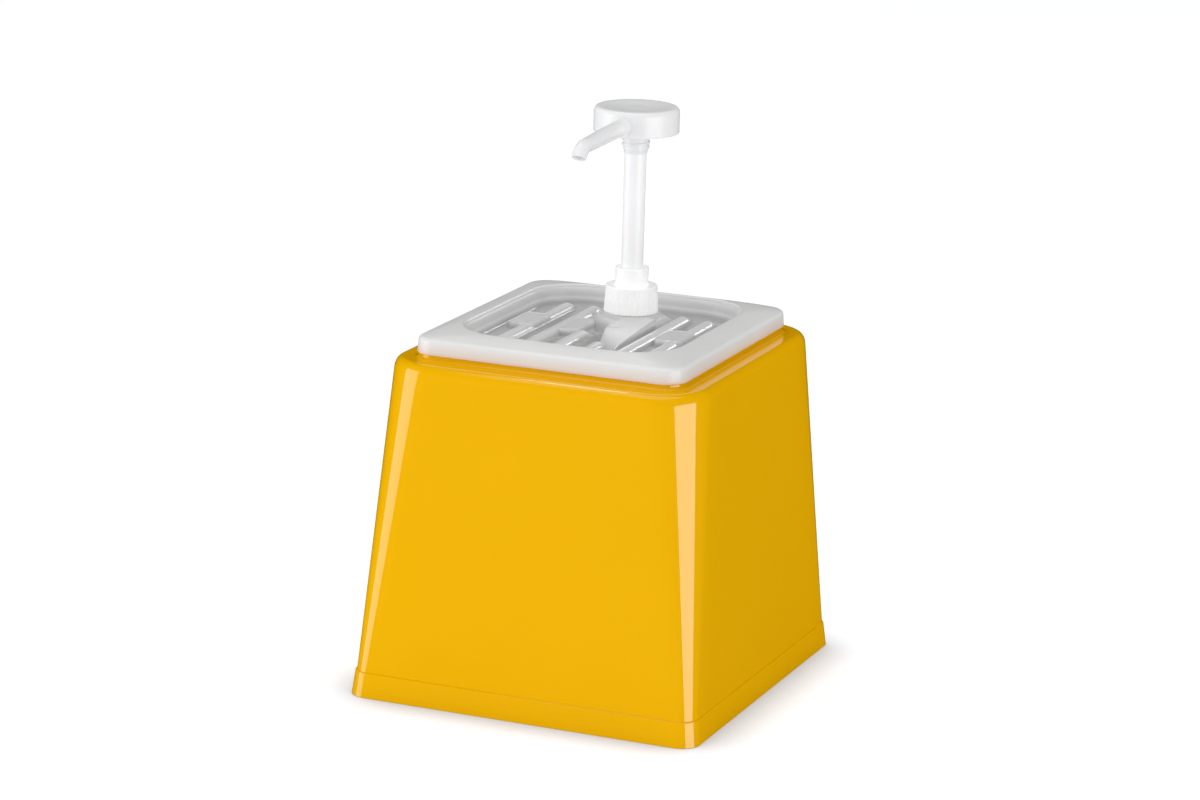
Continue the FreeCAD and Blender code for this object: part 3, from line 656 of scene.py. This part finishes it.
HEAD_R, HEAD_FOOT_Z, HEAD_TOP_Z, HEAD_DISH = 24.7, 310.9, 325.7, 1.0
SHANK_R, SHANK_FOOT_Z = 7.3, 298.6


def head():
    """Press head: dished top, round side, open underside, tapering threaded neck and its spout."""
    neck = [(6.345, SHANK_FOOT_Z), (6.75, SHANK_FOOT_Z), (6.95, 300.6), (SHANK_R, 300.9)]
    shank = [(SHANK_R, 300.9 + 0.22 * i) for i in range(1, 33)]
    flare = [(7.5, 308.4), (7.9, 309.2), (8.4, 310.0), (9.0, HEAD_FOOT_Z), (9.0, 313.0), (9.0, 321.6)]
    under = [(9.5, 322.1), (21.5, 322.1), (22.5, 321.1), (22.5, 311.3), (22.8, HEAD_FOOT_Z),
             (24.3, HEAD_FOOT_Z), (HEAD_R, 311.3)]
    side = [(HEAD_R, 311.3 + 11.2 * i / 6) for i in range(1, 7)]
    rim = [(HEAD_R - 2.4 * (1 - math.cos(math.radians(a))), 322.5 + 3.2 * math.sin(math.radians(a)))
           for a in range(10, 91, 10)]
    dish = [(22.3 - 22.2 * i / 12, HEAD_TOP_Z - HEAD_DISH * smooth(i / 9)) for i in range(1, 13)]
    thread = thread_swell(SHANK_R, 8.15, 2.9, 301.9, 2.1, 0.9)
    rings = lathe(neck + shank + flare + under + side + rim + dish, 160, thread)
    points, faces = loft(rings)
    n = len(rings[0])
    cap(points, faces, (len(rings) - 1) * n, n)
    socket = [(6.345, SHANK_FOOT_Z), (6.345, 312.02), (STEM_BORE_R, 312.02), (STEM_BORE_R, 318.0)]
    inner_points, inner_faces = loft(lathe(socket, 160))
    inner = (inner_points, [tuple(reversed(f)) for f in inner_faces])
    points, faces = joined([(points, faces), inner, nozzle()])
    return mesh_piece("press_head", points, faces, "pump_plastic", "head", "pump_head")


NOZZLE_FALL, NOZZLE_BEND = math.radians(2.4), math.radians(55.6)
NOZZLE_REACH, NOZZLE_BEND_R, NOZZLE_Z = 75.0, 12.0, 318.0
NOZZLE_R, NOZZLE_BORE_R, NOZZLE_SIDES = 4.2, 3.2, 64


def nozzle_ring(point, a, r):
    """Circle of radius r square to a spout that points down by the angle a."""
    up = Vector((0, -math.sin(a), math.cos(a)))
    ring = []
    for j in range(NOZZLE_SIDES):
        k = 2 * math.pi * j / NOZZLE_SIDES
        ring.append(tuple(point + Vector((1, 0, 0)) * r * math.cos(k) + up * r * math.sin(k)))
    return ring


def nozzle():
    """Spout: leaves the head's side, falls slightly and bends down at its tip."""
    heading = Vector((0, -math.cos(NOZZLE_FALL), -math.sin(NOZZLE_FALL)))
    root = Vector((0, PUMP_Y, NOZZLE_Z))
    stations = []
    for i in range(33):
        s = 20.0 + 1.6 * i
        taper = 1.15 * ((NOZZLE_REACH - s) / 55.0) ** 1.3
        flare = 1.1 * (1 - smooth((s - 22.0) / 8.0))
        stations.append((root + heading * s, NOZZLE_FALL, NOZZLE_R + taper + flare))
    elbow = root + heading * NOZZLE_REACH
    centre = elbow + Vector((0, math.sin(NOZZLE_FALL), -math.cos(NOZZLE_FALL))) * NOZZLE_BEND_R
    for i in range(21):
        a = NOZZLE_FALL + NOZZLE_BEND * i / 20
        point = centre + Vector((0, -math.sin(a), math.cos(a))) * NOZZLE_BEND_R
        stations.append((point, a, NOZZLE_R))
    rings = [nozzle_ring(*s) for s in stations]
    tip, a_end, _ = stations[-1]
    along = Vector((0, -math.cos(a_end), -math.sin(a_end)))
    # The mouth's edge: out to the end face, across it and into the bore, as (distance, radius).
    for step, r in ((-0.06, 4.16), (0.0, 4.05), (0.0, 3.5), (-0.08, 3.38), (-0.6, 3.3)):
        rings.append(nozzle_ring(tip + along * step, a_end, r))
    for point, a, _ in reversed(stations[4:-1]):
        rings.append(nozzle_ring(point, a, NOZZLE_BORE_R))
    points, faces = loft(rings)
    cap(points, faces, (len(rings) - 1) * NOZZLE_SIDES, NOZZLE_SIDES, flip=True)
    return points, [tuple(reversed(f)) for f in faces]


WIRE_R, COIL_R, SPRING_LOW_Z, SPRING_HIGH_Z = 0.7, 8.3, 114.2, 195.3     # heights of the wire's centre
COIL_TURNS, COIL_STEPS, WIRE_SIDES = 13, 48, 12


def spring():
    """Return spring with closed, ground ends, built at its rest length; the real one shortens as the head
    is pressed.
    """
    total = COIL_TURNS * COIL_STEPS
    open_height = SPRING_HIGH_Z - SPRING_LOW_Z - 4 * WIRE_R
    points, faces = [], []
    for i in range(total + 1):
        turn = i / COIL_STEPS
        open_share = min(1.0, max(0.0, (turn - 1.0) / (COIL_TURNS - 2.0)))
        closed = 2 * WIRE_R * (min(turn, 1.0) + max(0.0, turn - (COIL_TURNS - 1.0)))
        z = SPRING_LOW_Z + closed + open_height * open_share
        a = 2 * math.pi * turn
        for j in range(WIRE_SIDES):
            k = 2 * math.pi * j / WIRE_SIDES
            r = COIL_R + WIRE_R * math.cos(k)
            points.append((r * math.cos(a), PUMP_Y + r * math.sin(a), z + WIRE_R * math.sin(k)))
    for i in range(total):
        for j in range(WIRE_SIDES):
            k = (j + 1) % WIRE_SIDES
            a, b = i * WIRE_SIDES, (i + 1) * WIRE_SIDES
            faces.append((a + j, a + k, b + k, b + j))
    cap(points, faces, 0, WIRE_SIDES)
    cap(points, faces, total * WIRE_SIDES, WIRE_SIDES, flip=True)
    piece = mesh_piece("coil_spring", points, faces, "stainless", "pump_body", "return_spring", 60)
    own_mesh(piece)
    return piece


housing()
pan()
lid()
screw_cap()
collar()
stem()
head()
spring()

# The pieces below the lid keep their CAD meshes, smoothed and given their finishes.
subparts = {s["node"]: s["material_slot"] for s in frame["record"]["subparts"]}
for name, node in frame["nodes"].items():
    node.data.materials.clear()
    node.data.materials.append(SLOTS[subparts[name]])
    node.data.shade_smooth()
    node.data.set_sharp_from_angle(angle=math.radians(30))


# --------------------------------------------------------- stage and lighting

FLOOR_HALF = 14.0                             # metres
FLOOR_COLOUR = (0.46, 0.48, 0.52, 1)
FLOOR_GLOW, SHADOW_GLOW = 0.72, 0.25          # emission in the open, and close to the object's foot
SHADOW_REACH = 0.035                          # metres
WORLD_LIGHT = 0.70


def stage_floor():
    """White floor that glows less near the object, which leaves a soft shadow round its foot."""
    mesh = bpy.data.meshes.new("floor")
    s = FLOOR_HALF
    mesh.from_pydata([(-s, -s, 0), (s, -s, 0), (s, s, 0), (-s, s, 0)], [], [(0, 1, 2, 3)])
    floor = bpy.data.objects.new("floor", mesh)
    bpy.context.scene.collection.objects.link(floor)
    mat = bpy.data.materials.new("floor_white")
    mat.use_nodes = True
    bsdf = mat.node_tree.nodes["Principled BSDF"]
    bsdf.inputs["Base Color"].default_value = FLOOR_COLOUR
    bsdf.inputs["Roughness"].default_value = 0.6
    bsdf.inputs["Emission Color"].default_value = (0.99, 0.99, 1, 1)
    near = mat.node_tree.nodes.new("ShaderNodeAmbientOcclusion")
    near.inputs["Distance"].default_value = SHADOW_REACH
    glow = mat.node_tree.nodes.new("ShaderNodeMapRange")
    glow.inputs["From Min"].default_value = 0.5
    glow.inputs["From Max"].default_value = 0.95
    glow.inputs["To Min"].default_value = SHADOW_GLOW
    glow.inputs["To Max"].default_value = FLOOR_GLOW
    mat.node_tree.links.new(near.outputs["AO"], glow.inputs["Value"])
    mat.node_tree.links.new(glow.outputs["Result"], bsdf.inputs["Emission Strength"])
    floor.data.materials.append(mat)
    floor.visible_glossy = False


def softbox(name, azimuth, elevation, distance, width, height, radiance,
            aim=(0, 0, 0.15), glossy=True, diffuse=True):
    """Rectangular light facing the object, in metres; azimuth 0 is in front and 90 is to the right."""
    a, e = math.radians(azimuth), math.radians(elevation)
    way = Vector((math.sin(a) * math.cos(e), -math.cos(a) * math.cos(e), math.sin(e)))
    light = bpy.data.lights.new(name, "AREA")
    light.shape = "RECTANGLE"
    light.size, light.size_y = width, height
    light.energy = radiance * math.pi * width * height
    lamp = bpy.data.objects.new(name, light)
    lamp.location = Vector(aim) + way * distance
    lamp.rotation_mode = "QUATERNION"
    lamp.rotation_quaternion = (-way).to_track_quat("-Z", "Y")
    lamp.visible_glossy = glossy
    lamp.visible_diffuse = diffuse
    bpy.context.scene.collection.objects.link(lamp)
    return lamp


stage_floor()

# The boxes make the long highlights and the fills only light the surfaces.
softbox("left_box", -58, 3.6, 1.6, 0.95, 1.14, 2.4, diffuse=False)
softbox("right_box", 72, 2.2, 1.6, 1.45, 0.94, 3.7, diffuse=False)
softbox("left_fill", -70, 10, 2.2, 1.6, 1.6, 0.9, glossy=False)
softbox("right_fill", 80, 10, 2.2, 1.4, 1.4, 0.35, glossy=False)
softbox("front_fill", -30, 1, 2.2, 1.8, 1.2, 1.1, glossy=False)
softbox("top_box", 0, 80, 1.8, 1.6, 1.6, 0.85)
softbox("glint", -124, 63.6, 1.4, 0.10, 0.10, 16.0, aim=(0.02, -0.08, 0.2), diffuse=False)

# A low strip behind the lid lights the flanks of the tray's ribs and nothing else.
flank = softbox("flank_strip", 162, 19, 0.9, 0.12, 0.07, 17.0, aim=(0, 0, 0.2), diffuse=False)
ribbed = bpy.data.collections.new("ribbed")
ribbed.objects.link(bpy.data.objects["lid_tray"])
flank.light_linking.receiver_collection = ribbed

world = bpy.data.worlds.new("studio")
world.use_nodes = True
backdrop = world.node_tree.nodes["Background"]
backdrop.inputs["Color"].default_value = (1, 1, 1, 1)
backdrop.inputs["Strength"].default_value = WORLD_LIGHT
world.cycles_visibility.glossy = False
bpy.context.scene.world = world
bpy.context.scene.view_settings.view_transform = "Standard"

# The camera stands in front and to the right, about 2.4 m away, looking down on the object.
camera_data = bpy.data.cameras.new("camera")
camera_data.sensor_width = 36.0
camera_data.lens = 124.84
camera_data.clip_start, camera_data.clip_end = 0.05, 60.0
camera = bpy.data.objects.new("camera", camera_data)
camera.location = (0.8755, -2.1411, 0.7465)
camera.rotation_euler = (math.radians(75.787), math.radians(-1.607), math.radians(22.676))
bpy.context.scene.collection.objects.link(camera)
bpy.context.scene.camera = camera
